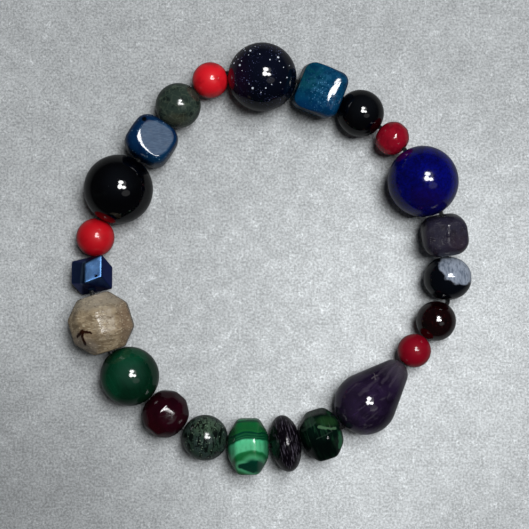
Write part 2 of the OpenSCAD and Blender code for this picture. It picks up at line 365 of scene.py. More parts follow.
def vector_node(tree, operation, first, second=None):
    node = tree.nodes.new("ShaderNodeVectorMath")
    node.operation = operation
    wire(tree, first, node.inputs[0])
    wire(tree, second, node.inputs["Scale" if operation == "SCALE" else 1])
    return node.outputs["Value" if operation in MEASURES else "Vector"]


def noise_node(tree, vector, scale, detail=3.0, roughness=0.5, distortion=0.0, out="Fac"):
    node = tree.nodes.new("ShaderNodeTexNoise")
    wire(tree, vector, node.inputs["Vector"])
    wire(tree, scale, node.inputs["Scale"])
    wire(tree, detail, node.inputs["Detail"])
    wire(tree, roughness, node.inputs["Roughness"])
    wire(tree, distortion, node.inputs["Distortion"])
    return node.outputs[out]


def step_node(tree, value, low, high, at_low=0.0, at_high=1.0):
    """Smooth step of a value between two limits."""
    node = tree.nodes.new("ShaderNodeMapRange")
    node.interpolation_type = "SMOOTHSTEP"
    wire(tree, value, node.inputs["Value"])
    wire(tree, low, node.inputs["From Min"])
    wire(tree, high, node.inputs["From Max"])
    wire(tree, at_low, node.inputs["To Min"])
    wire(tree, at_high, node.inputs["To Max"])
    return node.outputs["Result"]


def noise_push(tree, vector, scale, detail, roughness, size):
    """A small offset of noise in every direction, to bend what it is added to."""
    push = noise_node(tree, vector, scale, detail, roughness, 0.0, "Color")
    push = vector_node(tree, "SUBTRACT", push, (0.5, 0.5, 0.5))
    return vector_node(tree, "SCALE", push, size)


def cell_node(tree, feature, vector, scale):
    node = tree.nodes.new("ShaderNodeTexVoronoi")
    node.feature = feature
    wire(tree, vector, node.inputs["Vector"])
    wire(tree, scale, node.inputs["Scale"])
    return node.outputs


def mix_node(tree, share, under, over):
    """One colour over another, each a socket or a plain colour."""
    node = tree.nodes.new("ShaderNodeMix")
    node.data_type = "RGBA"
    for value, socket in zip((share, under, over), MIX_INPUTS):
        wire(tree, value, node.inputs[socket])
    return node.outputs[MIX_RESULT]


def group_node(tree, group, vector, **values):
    """One of the shared groups, placed with its own values."""
    node = tree.nodes.new("ShaderNodeGroup")
    node.node_tree = bpy.data.node_groups[group]
    wire(tree, vector, node.inputs["Vector"])
    for socket, value in values.items():
        wire(tree, value, node.inputs[socket])
    return node.outputs


def add_bump(tree, height, relief, shader):
    """Gives a shader's surface a relief of so many millimetres."""
    node = tree.nodes.new("ShaderNodeBump")
    node.inputs["Distance"].default_value = relief * MM
    tree.links.new(height, node.inputs["Height"])
    tree.links.new(node.outputs["Normal"], shader.inputs["Normal"])


def new_material(name, **settings):
    """A material with its Principled shader set: _ stands for a space in a name."""
    material = bpy.data.materials.new(name)
    material.use_nodes = True
    shader = material.node_tree.nodes["Principled BSDF"]
    for socket, value in settings.items():
        shader.inputs[socket.replace("_", " ")].default_value = value
    return material, shader


# Shared shader groups

def new_group(name, outputs=("Mask",), **inputs):
    """A group that takes a Vector and these inputs, each with its default."""
    tree = bpy.data.node_groups.new(name, "ShaderNodeTree")
    for title, default in {"Vector": (0, 0, 0), **inputs}.items():
        kind = "NodeSocketVector" if isinstance(default, tuple) else "NodeSocketFloat"
        socket = tree.interface.new_socket(title, in_out="INPUT", socket_type=kind)
        socket.default_value = default
    for title in outputs:
        tree.interface.new_socket(title, in_out="OUTPUT", socket_type="NodeSocketFloat")
    return tree, tree.nodes.new("NodeGroupInput").outputs, tree.nodes.new("NodeGroupOutput").inputs


def build_mottle():
    """Soft clouds: 0 below Low, 1 above High."""
    tree, given, made = new_group("Mottle", Scale=0.4, Detail=3.0, Distortion=0.0, Low=0.4, High=0.65)
    cloud = noise_node(tree, given["Vector"], given["Scale"], given["Detail"], 0.55,
                       given["Distortion"])
    tree.links.new(step_node(tree, cloud, given["Low"], given["High"]), made["Mask"])


def build_flecks():
    """Small separate grains. Share is the part of the cells that holds one."""
    tree, given, made = new_group("Flecks", Scale=2.0, Size=0.25, Share=0.3)
    cells = cell_node(tree, "F1", given["Vector"], given["Scale"])
    chance = tree.nodes.new("ShaderNodeSeparateColor")
    tree.links.new(cells["Color"], chance.inputs["Color"])
    edge = math_node(tree, "MULTIPLY", given["Size"], 0.55)
    grain = step_node(tree, cells["Distance"], edge, given["Size"], 1.0, 0.0)
    kept = math_node(tree, "LESS_THAN", chance.outputs["Red"], given["Share"])
    tree.links.new(math_node(tree, "MULTIPLY", grain, kept), made["Mask"])


def build_veins():
    """Thin branching lines, bent by noise."""
    tree, given, made = new_group("Veins", Scale=0.4, Width=0.04, Warp=0.8)
    push = noise_push(tree, given["Vector"], given["Scale"], 3.0, 0.55, given["Warp"])
    bent = vector_node(tree, "ADD", given["Vector"], push)
    cells = cell_node(tree, "DISTANCE_TO_EDGE", bent, given["Scale"])
    line = step_node(tree, cells["Distance"], 0.0, given["Width"], 1.0, 0.0)
    tree.links.new(line, made["Mask"])


def build_patch():
    """An oval patch with a soft or ragged edge."""
    tree, given, made = new_group("Patch", Centre=(0, 0, 0), Size=(1, 1, 1), Soft=0.3, Ragged=0.3,
                                  Grain=0.8)
    offset = vector_node(tree, "SUBTRACT", given["Vector"], given["Centre"])
    offset = vector_node(tree, "DIVIDE", offset, given["Size"])
    reach = vector_node(tree, "LENGTH", offset)
    rough = math_node(tree, "SUBTRACT", noise_node(tree, given["Vector"], given["Grain"], 4.0), 0.5)
    reach = math_node(tree, "ADD", reach, math_node(tree, "MULTIPLY", rough, given["Ragged"]))
    low = math_node(tree, "SUBTRACT", 1.0, given["Soft"])
    high = math_node(tree, "ADD", 1.0, given["Soft"])
    tree.links.new(step_node(tree, reach, low, high, 1.0, 0.0), made["Mask"])


def build_stroke():
    """A line from one point to another, such as a crack or a drawn vein."""
    tree, given, made = new_group("Stroke", From=(0, 0, 0), To=(1, 0, 0), Width=0.2, Ragged=0.2,
                                  Grain=1.2)
    push = noise_push(tree, given["Vector"], given["Grain"], 3.0, 0.5, given["Ragged"])
    place = vector_node(tree, "ADD", given["Vector"], push)
    start = vector_node(tree, "SUBTRACT", place, given["From"])
    line = vector_node(tree, "SUBTRACT", given["To"], given["From"])
    along = vector_node(tree, "DOT_PRODUCT", start, line)
    whole = vector_node(tree, "DOT_PRODUCT", line, line)
    share = math_node(tree, "DIVIDE", along, whole, clamp=True)
    nearest = vector_node(tree, "SCALE", line, share)
    reach = vector_node(tree, "DISTANCE", start, nearest)
    low = math_node(tree, "MULTIPLY", given["Width"], 0.3)
    high = math_node(tree, "MULTIPLY", given["Width"], 0.7)
    tree.links.new(step_node(tree, reach, low, high, 1.0, 0.0), made["Mask"])


def build_polish():
    """Unevenness of a hand-polished stone: roughness and a low relief."""
    tree, given, made = new_group("Polish", ("Roughness", "Height"), Roughness=0.08, Wear=0.3)
    rubbed = noise_node(tree, given["Vector"], 0.9, 4.0)
    rubbed = step_node(tree, rubbed, 0.45, 0.8)
    stretched = vector_node(tree, "MULTIPLY", given["Vector"], (0.5, 1.4, 1.0))
    scratches = cell_node(tree, "DISTANCE_TO_EDGE", stretched, 1.1)
    lines = step_node(tree, scratches["Distance"], 0.0, 0.02, 1.0, 0.0)
    wear = math_node(tree, "MULTIPLY", math_node(tree, "MAXIMUM", rubbed, lines), given["Wear"])
    rough = math_node(tree, "MULTIPLY", wear, 0.35)
    tree.links.new(math_node(tree, "ADD", given["Roughness"], rough), made["Roughness"])
    swell = noise_node(tree, given["Vector"], 0.35, 2.0)
    fine = noise_node(tree, given["Vector"], 4.0, 2.0)
    fine = math_node(tree, "MULTIPLY", fine, math_node(tree, "MULTIPLY", given["Wear"], 0.08))
    tree.links.new(math_node(tree, "ADD", swell, fine), made["Height"])


class Finish:
    """A stone's material, painted from the ground colour up. Its masks are
    placed in millimetres from the bead's middle: right, up and towards the
    camera, or, where the vector is along, in the bead's own axes."""

    def __init__(self, name, bead, ground, **settings):
        self.material, self.shader = new_material(name, **settings)
        self.tree = self.material.node_tree
        self.place = self.tree.nodes.new("ShaderNodeTexCoord").outputs["Object"]
        self.above = self.coords(bead.middle, (0, 0, 0))
        self.along = self.coords(bead.middle, bead.turn.to_euler())
        self.flat = self.stretched(self.above, (1, 1, 0))
        height = vector_node(self.tree, "DOT_PRODUCT", self.above, (0, 0, 1))
        self.upper = step_node(self.tree, height, 0.3, 1.3)
        self.look = (*ground, 1)

    def coords(self, middle, turn):
        """Millimetres from the bead's middle, along the given axes."""
        node = self.tree.nodes.new("ShaderNodeMapping")
        node.vector_type = "TEXTURE"
        node.inputs["Location"].default_value = middle
        node.inputs["Rotation"].default_value = turn
        node.inputs["Scale"].default_value = (MM, MM, MM)
        self.tree.links.new(self.place, node.inputs["Vector"])
        return node.outputs["Vector"]

    def stretched(self, vector, scale):
        return vector_node(self.tree, "MULTIPLY", vector, scale)

    def mask(self, group, vector=None, **values):
        return group_node(self.tree, group, vector or self.above, **values)["Mask"]

    def times(self, first, second):
        return math_node(self.tree, "MULTIPLY", first, second)

    def joined(self, masks):
        """Every place that any of the masks covers."""
        whole = masks[0]
        for mask in masks[1:]:
            whole = math_node(self.tree, "MAXIMUM", whole, mask)
        return whole

    def over(self, shade, mask, strength=1.0):
        """Lays a colour over what is painted so far."""
        if strength < 1.0:
            mask = self.times(mask, strength)
        self.look = mix_node(self.tree, mask, self.look, (*shade, 1))

    def strokes(self, shade, lines, ragged, strength=1.0):
        """Lays thin lines over the upper side: start, end and width of each."""
        drawn = [self.mask("Stroke", self.flat, From=(*start, 0), To=(*end, 0), Width=width, Ragged=ragged)
                 for start, end, width in lines]
        self.over(shade, self.times(self.joined(drawn), self.upper), strength)

    def bands(self, value, stops):
        """Paints the whole stone in bands: place and colour of each stop."""
        node = self.tree.nodes.new("ShaderNodeValToRGB")
        while len(node.color_ramp.elements) < len(stops):
            node.color_ramp.elements.new(1.0)
        for element, (at, shade) in zip(node.color_ramp.elements, stops):
            element.position = at
            element.color = (*shade, 1)
        self.tree.links.new(value, node.inputs["Fac"])
        self.look = node.outputs["Color"]

    def absorb(self, tint, density):
        """Tints the light that goes through a clear stone."""
        node = self.tree.nodes.new("ShaderNodeVolumeAbsorption")
        node.inputs["Color"].default_value = (*tint, 1)
        node.inputs["Density"].default_value = density
        output = self.tree.nodes["Material Output"]
        self.tree.links.new(node.outputs["Volume"], output.inputs["Volume"])

    def polish(self, roughness, wear, relief, extra=None):
        """Ends the material: gloss, its unevenness, and any extra relief."""
        polish = group_node(self.tree, "Polish", self.along, Roughness=roughness, Wear=wear)
        self.tree.links.new(polish["Roughness"], self.shader.inputs["Roughness"])
        height = polish["Height"]
        if extra is not None:
            height = math_node(self.tree, "ADD", height, extra)
        add_bump(self.tree, height, relief, self.shader)
        wire(self.tree, self.look, self.shader.inputs["Base Color"])
        return self.material


# Stones

def bright_red(bead, colours):
    """Opaque red under a soft gloss, with painted shade towards the lower left, and over the whole of the
    left bead.
    """
    left = bead.name == "red_bead_left"
    paint = Finish("bright_red_stone", bead, colours.bright_red, Coat_Weight=0.7,
                   Coat_Roughness=0.11, Specular_IOR_Level=0.15)
    clouds = paint.mask("Mottle", Scale=0.45, Detail=4.0, Low=0.42, High=0.7)
    paint.over(colours.bright_red_shade, clouds, 0.7)
    pits = paint.mask("Flecks", Scale=2.6, Size=0.16, Share=0.12)
    paint.over(colours.bright_red_shade, pits, 0.6)
    # painted shade: the left one is darker all over, as the light falls off to the left
    if left:
        paint.over(colours.bright_red_shade, 0.55)
    # painted shade towards the lower left, stronger on the left bead
    low = paint.mask("Patch", Centre=(-1.6, -1.9, 1.0), Size=(2.6, 2.4, 3), Soft=0.7)
    paint.over(colours.bright_red_shade, low, 0.6 if left else 0.25)
    return paint.polish(0.5, 0.35, 0.03)


# The brightest grains of glitter, painted white where they glint: right and up from the bead's middle, and
# half width, in millimetres
GLITTER = (
    (-3.1, 4.6, 0.13), (-2.0, 4.1, 0.17), (1.3, 2.4, 0.1), (2.7, 2.9, 0.17), (-5.3, 2.2, 0.12),
    (-4.8, 2.1, 0.14), (-3.5, 2.3, 0.09), (-3.8, 1.6, 0.16), (4.2, -0.5, 0.1), (-1.6, -2.4, 0.17),
    (0.6, -2.4, 0.11), (-4.4, 3.2, 0.09), (-3.4, 0.6, 0.07), (3.6, 1.2, 0.07), (-0.4, 3.4, 0.07),
    (-2.9, 4.2, 0.07), (-2.3, 3.3, 0.08), (-4.1, 2.7, 0.07), (-1.2, 4.9, 0.07), (2.9, 2.2, 0.08),
    (3.1, -1.4, 0.08), (-0.2, -3.1, 0.07), (-2.2, -1.7, 0.07), (1.6, -1.8, 0.08), (4.6, 1.6, 0.07),
)


def goldstone(bead, colours):
    """Near black, with dust, grains and glitter that is painted white where it glints, a painted sheen
    near the top, and a painted reflection of red light on its left.
    """
    paint = Finish("blue_goldstone", bead, colours.goldstone)
    # painted reflection of red light from the red bead on its left
    violet = paint.mask("Patch", Centre=(-4.7, -0.6, 3.0), Size=(2.2, 4.0, 4), Soft=0.8)
    paint.over(seen(30, 6, 34), violet, 0.8)
    # painted sheen round the highlight near the top
    painted_sheen = paint.mask("Patch", Centre=(0.4, 1.8, 5.0), Size=(4.0, 3.6, 3.5), Soft=0.8)
    paint.over(seen(20, 24, 42), painted_sheen, 0.35)
    crowd = paint.mask("Mottle", Scale=0.32, Detail=2.0, Low=0.42, High=0.6)
    dust = paint.mask("Flecks", Scale=4.2, Size=0.3, Share=0.4)
    paint.over(seen(78, 86, 130), paint.times(dust, crowd))
    grains = paint.mask("Flecks", Scale=2.6, Size=0.24, Share=0.3)
    paint.over(seen(120, 128, 172), paint.times(grains, crowd))
    # glitter grains of the stone, with their glint painted on in white
    glints = []
    for across, up, reach in GLITTER:
        high = math.sqrt(max(bead.half[2] ** 2 - across ** 2 - up ** 2, 0.0))
        glints.append(paint.mask("Patch", Centre=(across, up, high), Size=(reach, reach, 3 * reach),
                                 Soft=0.3, Ragged=0.9, Grain=3.0))
    paint.over(colours.goldstone_glint, paint.joined(glints))
    return paint.polish(0.06, 0.15, 0.01)


def teal_agate(bead, colours):
    """Teal with a greener corner, pale specks in the middle and a painted reflection of the floor along
    its foot.
    """
    paint = Finish("teal_agate", bead, colours.teal)
    green = paint.mask("Patch", Centre=(-2.4, 2.2, 3), Size=(3.0, 2.6, 4), Soft=0.6, Ragged=0.6)
    paint.over(colours.teal_green, green)
    deep = paint.mask("Patch", Centre=(-1.5, -3.4, 2.6), Size=(4.4, 1.4, 3), Soft=0.6, Ragged=0.8)
    paint.over(seen(0, 42, 82), deep, 0.9)
    clouds = paint.mask("Mottle", Scale=0.9, Detail=5.0, Low=0.45, High=0.62)
    paint.over(seen(0, 44, 76), clouds, 0.8)
    pale = paint.mask("Patch", Centre=(0.9, -0.2, 4), Size=(2.6, 3.0, 3), Soft=0.7, Ragged=0.8)
    milky = paint.mask("Mottle", Scale=1.3, Detail=4.0, Low=0.44, High=0.6)
    paint.over(seen(48, 108, 146), paint.times(pale, milky), 0.4)
    specks = paint.mask("Flecks", Scale=3.0, Size=0.34, Share=0.45)
    paint.over(seen(84, 146, 186), paint.times(specks, pale), 0.9)
    dust = paint.mask("Flecks", Scale=4.0, Size=0.34, Share=0.3)
    paint.over(seen(48, 118, 150), dust, 0.35)
    # painted reflection of the floor: a pale strip along the lower edge
    floor_reflection = paint.mask("Stroke", From=(-4.3, -1.9, 0.4), To=(1.6, -4.3, 0.4), Width=2.4, Ragged=0.4)
    paint.over(seen(86, 116, 140), floor_reflection, 0.9)
    return paint.polish(0.06, 0.3, 0.04)


def black_onyx(bead, colours):
    """Black with faint clouds, scuffs and a painted sheen near the top."""
    paint = Finish("black_onyx", bead, colours.onyx)
    clouds = paint.mask("Mottle", Scale=0.5, Detail=4.0, Low=0.5, High=0.8)
    paint.over(seen(9, 11, 12), clouds, 0.8)
    # painted sheen round the highlight near the top
    painted_sheen = paint.mask("Patch", Centre=(0.4, 1.0, 4.0), Size=(2.2, 2.2, 4.0), Soft=0.8)
    paint.over(seen(19, 22, 27), painted_sheen, 0.5)
    scuffs = paint.mask("Flecks", vector=paint.stretched(paint.above, (1.6, 0.5, 1.0)),
                        Scale=1.6, Size=0.12, Share=0.1)
    paint.over(seen(52, 54, 58), scuffs, 0.6)
    return paint.polish(0.05, 0.15, 0.01)


def raspberry(bead, colours):
    """Cloudy red that lets a little light in."""
    paint = Finish("dark_red_glass", bead, colours.raspberry, Transmission_Weight=0.25)
    clouds = paint.mask("Mottle", Scale=0.7, Detail=4.0, Distortion=0.6, Low=0.4, High=0.65)
    paint.over(seen(132, 10, 32), clouds, 0.6)
    pale = paint.mask("Mottle", Scale=1.6, Detail=3.0, Low=0.56, High=0.72)
    paint.over(seen(192, 50, 70), pale, 0.35)
    return paint.polish(0.08, 0.4, 0.06)


def lapis(bead, colours):
    """Deep blue with darker clouds, fine grains and a violet patch below."""
    paint = Finish("lapis", bead, colours.lapis)
    clouds = paint.mask("Mottle", Scale=0.34, Detail=5.0, Distortion=0.8, Low=0.42, High=0.68)
    paint.over(colours.lapis_shade, clouds, 0.75)
    fine = paint.mask("Mottle", Scale=2.2, Detail=5.0, Low=0.44, High=0.6)
    paint.over(seen(2, 2, 44), fine, 0.55)
    violet = paint.mask("Patch", Centre=(0.3, -3.2, 4.4), Size=(3.2, 1.8, 3), Soft=0.6, Ragged=1.0)
    paint.over(seen(22, 6, 64), violet, 0.5)
    grains = paint.mask("Flecks", Scale=3.4, Size=0.22, Share=0.16)
    paint.over(seen(36, 40, 128), grains, 0.6)
    return paint.polish(0.08, 0.3, 0.03)


def purple_grey(bead, colours):
    """Grey purple, grainy and less glossy than the others, with painted light on its left side."""
    paint = Finish("purple_grey_stone", bead, colours.purple_grey)
    clouds = paint.mask("Mottle", Scale=0.7, Detail=5.0, Low=0.4, High=0.65)
    paint.over(seen(30, 26, 36), clouds, 0.8)
    grain = paint.mask("Flecks", Scale=4.2, Size=0.4, Share=0.35)
    paint.over(seen(84, 78, 92), grain, 0.4)
    dark = paint.mask("Flecks", vector=paint.along, Scale=5.5, Size=0.36, Share=0.3)
    paint.over(seen(16, 13, 20), dark, 0.6)
    red = paint.mask("Patch", Centre=(1.9, -1.6, 2.6), Size=(1.8, 1.8, 2), Soft=0.7, Ragged=0.6)
    paint.over(seen(52, 36, 48), red, 0.35)
    # painted light: the slanted left side painted paler than the top
    painted_pale_side = paint.mask("Patch", Centre=(-4.2, -0.4, 1.8), Size=(1.0, 2.8, 2.0), Soft=0.4, Ragged=0.5)
    paint.over(seen(74, 72, 76), painted_pale_side, 0.6)
    # a small bump on the ridge, where the light glints
    bump = paint.mask("Patch", Centre=(0.3, 0.0, 3.8), Size=(0.34, 0.34, 1.5), Soft=0.5)
    relief = math_node(paint.tree, "ADD", paint.times(dark, -0.3), paint.times(bump, 1.7))
    return paint.polish(0.15, 0.4, 0.05, relief)


def snowflake(bead, colours):
    """Near black with a pale mottled patch on the upper right."""
    paint = Finish("snowflake_stone", bead, colours.snowflake)
    pale = paint.mask("Patch", vector=paint.flat, Centre=(2.3, 2.2, 0), Size=(4.0, 3.3, 1), Soft=0.06,
                      Ragged=0.5, Grain=0.8)
    low = paint.mask("Patch", vector=paint.along, Centre=(-1.0, -2.5, -2.6), Size=(2.2, 1.7, 1.8),
                     Soft=0.1, Ragged=0.9)
    white = paint.joined([pale, low])
    paint.over(colours.snowflake_white, white)
    brushed = paint.stretched(paint.above, (2.0, 0.7, 1.0))
    clouds = paint.mask("Mottle", vector=brushed, Scale=0.9, Detail=5.0, Low=0.42, High=0.66)
    paint.over(seen(92, 104, 120), paint.times(clouds, white), 0.8)
    dark = paint.mask("Mottle", vector=brushed, Scale=1.6, Detail=4.0, Low=0.54, High=0.7)
    paint.over(seen(58, 68, 86), paint.times(dark, white), 0.6)
    stars = paint.mask("Flecks", Scale=1.3, Size=0.16, Share=0.1)
    paint.over(seen(66, 72, 88), stars, 0.4)
    return paint.polish(0.08, 0.3, 0.03)


def garnet(bead, colours):
    """Clear dark red that looks nearly black, with grains."""
    paint = Finish("garnet", bead, colours.garnet, Transmission_Weight=0.8, IOR=1.7)
    clouds = paint.mask("Mottle", Scale=0.8, Detail=4.0, Low=0.4, High=0.7)
    paint.over(seen(18, 4, 7), clouds, 0.8)
    grains = paint.mask("Flecks", Scale=3.0, Size=0.3, Share=0.3)
    paint.over(seen(150, 46, 46), grains, 0.8)
    paint.absorb(seen(190, 60, 56), 620)
    return paint.polish(0.06, 0.25, 0.02)


def cherry(bead, colours):
    """Opaque deep red with pale specks."""
    paint = Finish("cherry_stone", bead, colours.cherry, Coat_Weight=0.6, Coat_Roughness=0.08,
                   Specular_IOR_Level=0.06)
    clouds = paint.mask("Mottle", Scale=0.5, Detail=4.0, Low=0.4, High=0.68)
    paint.over(seen(116, 5, 22), clouds, 0.5)
    specks = paint.mask("Flecks", Scale=3.2, Size=0.18, Share=0.12)
    paint.over(seen(170, 50, 66), specks, 0.3)
    return paint.polish(0.5, 0.35, 0.03)


def amethyst(bead, colours):
    """Clear dark violet with veils, and paler towards the tip."""
    paint = Finish("amethyst", bead, colours.amethyst, Transmission_Weight=0.72, IOR=1.54)
    clouds = paint.mask("Mottle", Scale=0.35, Detail=5.0, Distortion=0.8, Low=0.38, High=0.64)
    paint.over(seen(40, 24, 58), clouds, 0.8)
    drawn = paint.stretched(paint.along, (0.4, 1.3, 1.3))
    veils = paint.mask("Mottle", vector=drawn, Scale=0.6, Detail=4.0, Distortion=1.2, Low=0.54, High=0.7)
    paint.over(seen(140, 130, 150), veils, 0.65)
    dark = paint.mask("Patch", Centre=(3.2, -2.8, 2.0), Size=(2.4, 3.6, 5.0), Soft=0.6, Ragged=0.8)
    paint.over(seen(26, 14, 40), dark, 0.6)
    light = paint.mask("Patch", Centre=(-3.6, -0.6, 2.0), Size=(2.8, 4.4, 5.0), Soft=0.8, Ragged=0.6)
    paint.over(seen(108, 92, 128), light, 0.2)
    specks = paint.mask("Flecks", Scale=2.4, Size=0.16, Share=0.12)
    paint.over(seen(160, 150, 172), specks, 0.35)
    tip = paint.mask("Patch", vector=paint.along, Centre=(-7.0, 0, 0), Size=(3.2, 4, 4), Soft=0.6,
                     Ragged=0.5)
    paint.over(seen(124, 118, 130), tip, 0.8)
    # growth lines that run towards the tip, and a small crack
    paint.strokes(seen(132, 120, 142), (
        ((1.4, 2.4), (4.2, 5.8), 0.5), ((2.6, 1.6), (4.9, 5.2), 0.4), ((0.4, 3.4), (3.4, 6.2), 0.4),
        ((-2.6, 0.4), (0.6, 3.0), 0.5)), 0.6, 0.4)
    paint.strokes(seen(170, 160, 172), (
        ((-0.4, 3.0), (0.5, 3.5), 0.2), ((0.2, 2.8), (0.0, 3.8), 0.18)), 0.4, 0.8)
    paint.absorb(seen(196, 160, 214), 330)
    return paint.polish(0.07, 0.3, 0.03)


def tiger_green(bead, colours):
    """Dark green with silky stripes across the bead, and painted shade on its lower facet."""
    paint = Finish("green_tiger_eye", bead, colours.tiger_green, Specular_IOR_Level=0.14)
    fibres = paint.stretched(paint.along, (3.4, 0.35, 0.5))
    silk = paint.mask("Mottle", vector=fibres, Scale=0.55, Detail=5.0, Distortion=0.5, Low=0.48,
                      High=0.66)
    paint.over(colours.tiger_silk, silk, 0.5)
    olive = paint.mask("Patch", Centre=(0.8, 2.5, 2.6), Size=(1.9, 0.8, 2), Soft=0.5, Ragged=0.7)
    paint.over(seen(34, 66, 34), olive, 0.6)
    # painted shade: the lower facet darkened nearly to black
    shade = paint.mask("Patch", vector=paint.flat, Centre=(0.0, -2.2, 0), Size=(3.0, 2.5, 1), Soft=0.45,
                       Ragged=0.5)
    paint.over(seen(2, 9, 8), shade, 0.9)
    paint.strokes(seen(92, 130, 96), (((-0.6, 1.6), (2.2, 1.3), 0.42),), 0.7, 0.6)
    paint.strokes(seen(58, 78, 66), (
        ((-1.0, -0.3), (1.7, 0.85), 0.2), ((-3.0, 1.9), (-1.6, 2.9), 0.8),
        ((-3.3, 0.9), (-1.2, 2.4), 0.5)), 0.7, 0.3)
    paint.strokes(seen(46, 102, 70), (((3.2, 0.5), (3.15, -1.9), 0.7),), 0.5, 0.6)
    return paint.polish(0.07, 0.25, 0.02)


def disc_stone(bead, colours):
    """Black purple with pale streaks round the edge."""
    paint = Finish("black_purple_stone", bead, colours.disc_black, Specular_IOR_Level=0.3)
    rub = paint.stretched(paint.along, (9.0, 1.0, 1.0))
    tint = paint.mask("Mottle", Scale=0.4, Detail=3.0, Low=0.45, High=0.7)
    paint.over(seen(20, 14, 26), tint, 0.6)
    streaks = paint.mask("Mottle", vector=rub, Scale=0.6, Detail=5.0, Low=0.54, High=0.63)
    paint.over(colours.disc_streak, streaks, 0.5)
    return paint.polish(0.12, 0.4, 0.03, paint.times(streaks, 0.3))


def malachite(bead, colours):
    """Bands round a leaf-shaped eye on the upper side, and painted shade on the slanted ends."""
    paint = Finish("malachite", bead, colours.malachite)
    tree = paint.tree
    eye = vector_node(tree, "SUBTRACT", paint.above, (0.5, -2.9, 3.6))
    eye = vector_node(tree, "MULTIPLY", eye, (0.86, 1.0, 0.25))
    push = noise_push(tree, paint.above, 0.3, 2.0, 0.5, 0.9)
    reach = vector_node(tree, "LENGTH", vector_node(tree, "ADD", eye, push))
    mid = colours.malachite
    mint = colours.malachite_mint
    dark = colours.malachite_dark
    # the bands from the eye outwards, in shares of ten millimetres
    stops = (
        (0.0, mid), (0.17, seen(22, 98, 48)), (0.25, mid), (0.272, seen(26, 118, 66)), (0.295, mint),
        (0.37, mint), (0.45, seen(80, 200, 144)), (0.475, seen(20, 96, 62)), (0.485, dark),
        (0.505, seen(30, 100, 60)), (0.52, dark), (0.545, seen(28, 96, 56)), (0.56, dark),
        (0.575, dark), (0.59, seen(26, 104, 50)), (0.62, seen(22, 92, 48)), (0.72, mid),
        (0.76, dark), (0.79, seen(50, 150, 96)), (0.83, mid), (0.9, dark), (0.93, seen(40, 140, 84)),
        (1.0, mid),
    )
    paint.bands(math_node(tree, "DIVIDE", reach, 10.0), stops)
    fibres = paint.mask("Mottle", vector=paint.stretched(paint.above, (2.0, 0.6, 0.6)), Scale=0.8,
                        Detail=4.0, Low=0.45, High=0.65)
    paint.over(seen(10, 84, 44), fibres, 0.25)
    leaf = (((-1.3, -3.0), (1.5, -2.3), 0.9), ((-0.9, -3.1), (0.9, -3.9), 0.9),
            ((0.8, -2.9), (1.5, -3.1), 2.6))
    paint.strokes(seen(84, 178, 128), [(start, end, width + 0.9) for start, end, width in leaf], 0.15)
    paint.strokes(colours.malachite_dark, leaf, 0.15)
    # painted shade: the slanted facets at both ends of the barrel darker
    sides = paint.mask("Patch", vector=paint.along, Centre=(0, 0, 4.0), Size=(2.9, 9, 9), Soft=0.12,
                       Ragged=0.1)
    shade = math_node(tree, "SUBTRACT", 1.0, sides)
    paint.over(seen(2, 62, 36), shade, 0.6)
    return paint.polish(0.17, 0.3, 0.02)


def speckled(bead, colours):
    """Green grey with black streaks and dark and pale grains."""
    paint = Finish("speckled_green_stone", bead, colours.speckled)
    blue = paint.mask("Mottle", Scale=0.55, Detail=5.0, Low=0.42, High=0.6)
    paint.over(seen(50, 64, 62), blue, 0.7)
    pale = paint.mask("Patch", Centre=(0.2, 2.3, 3.0), Size=(2.0, 1.5, 2), Soft=0.5, Ragged=0.9)
    paint.over(seen(74, 96, 76), pale, 0.7)
    upright = paint.stretched(paint.above, (2.2, 0.8, 1.2))
    streaks = paint.mask("Mottle", vector=upright, Scale=0.8, Detail=5.0, Distortion=0.7, Low=0.48,
                         High=0.57)
    paint.over(seen(6, 12, 11), streaks, 0.95)
    grains = paint.mask("Flecks", Scale=2.2, Size=0.36, Share=0.4)
    paint.over(seen(6, 14, 11), grains, 0.85)
    light = paint.mask("Flecks", vector=paint.along, Scale=2.4, Size=0.34, Share=0.36)
    paint.over(seen(116, 138, 116), light, 0.7)
    return paint.polish(0.09, 0.4, 0.03)


def wine(bead, colours):
    """Wine red that lets a little light in."""
    paint = Finish("wine_stone", bead, colours.wine, Transmission_Weight=0.35, Specular_IOR_Level=0.38)
    dark = paint.mask("Mottle", Scale=0.5, Detail=4.0, Low=0.4, High=0.68)
    paint.over(seen(30, 3, 14), dark, 0.8)
    red = paint.mask("Patch", Centre=(-2.2, -2.0, 2.0), Size=(2.4, 2.2, 2.5), Soft=0.7, Ragged=0.6)
    paint.over(seen(58, 4, 14), red, 0.6)
    return paint.polish(0.07, 0.3, 0.02)


def cat_green(bead, colours):
    """Deep green with a brighter silky band across it, and a painted sheen near the top."""
    paint = Finish("green_cat_eye", bead, colours.cat_green)
    fibres = paint.stretched(paint.along, (0.5, 3.0, 3.0))
    silk = paint.mask("Mottle", vector=fibres, Scale=0.8, Detail=4.0, Low=0.4, High=0.7)
    paint.over(seen(2, 28, 17), silk, 0.6)
    band = paint.mask("Stroke", From=(1.2, 4.6, 2.6), To=(-3.6, -2.6, 2.6), Width=4.4, Ragged=0.8,
                      Grain=0.4)
    paint.over(colours.cat_silk, band, 0.6)
    ripple = paint.mask("Veins", vector=fibres, Scale=0.4, Width=0.08, Warp=0.9)
    paint.over(seen(20, 88, 62), paint.times(ripple, band), 0.3)
    # painted sheen round the highlight near the top
    painted_sheen = paint.mask("Patch", Centre=(0.4, 1.0, 5.0), Size=(2.0, 2.0, 3.0), Soft=0.8)
    paint.over(seen(44, 82, 68), painted_sheen, 0.4)
    return paint.polish(0.08, 0.25, 0.02)


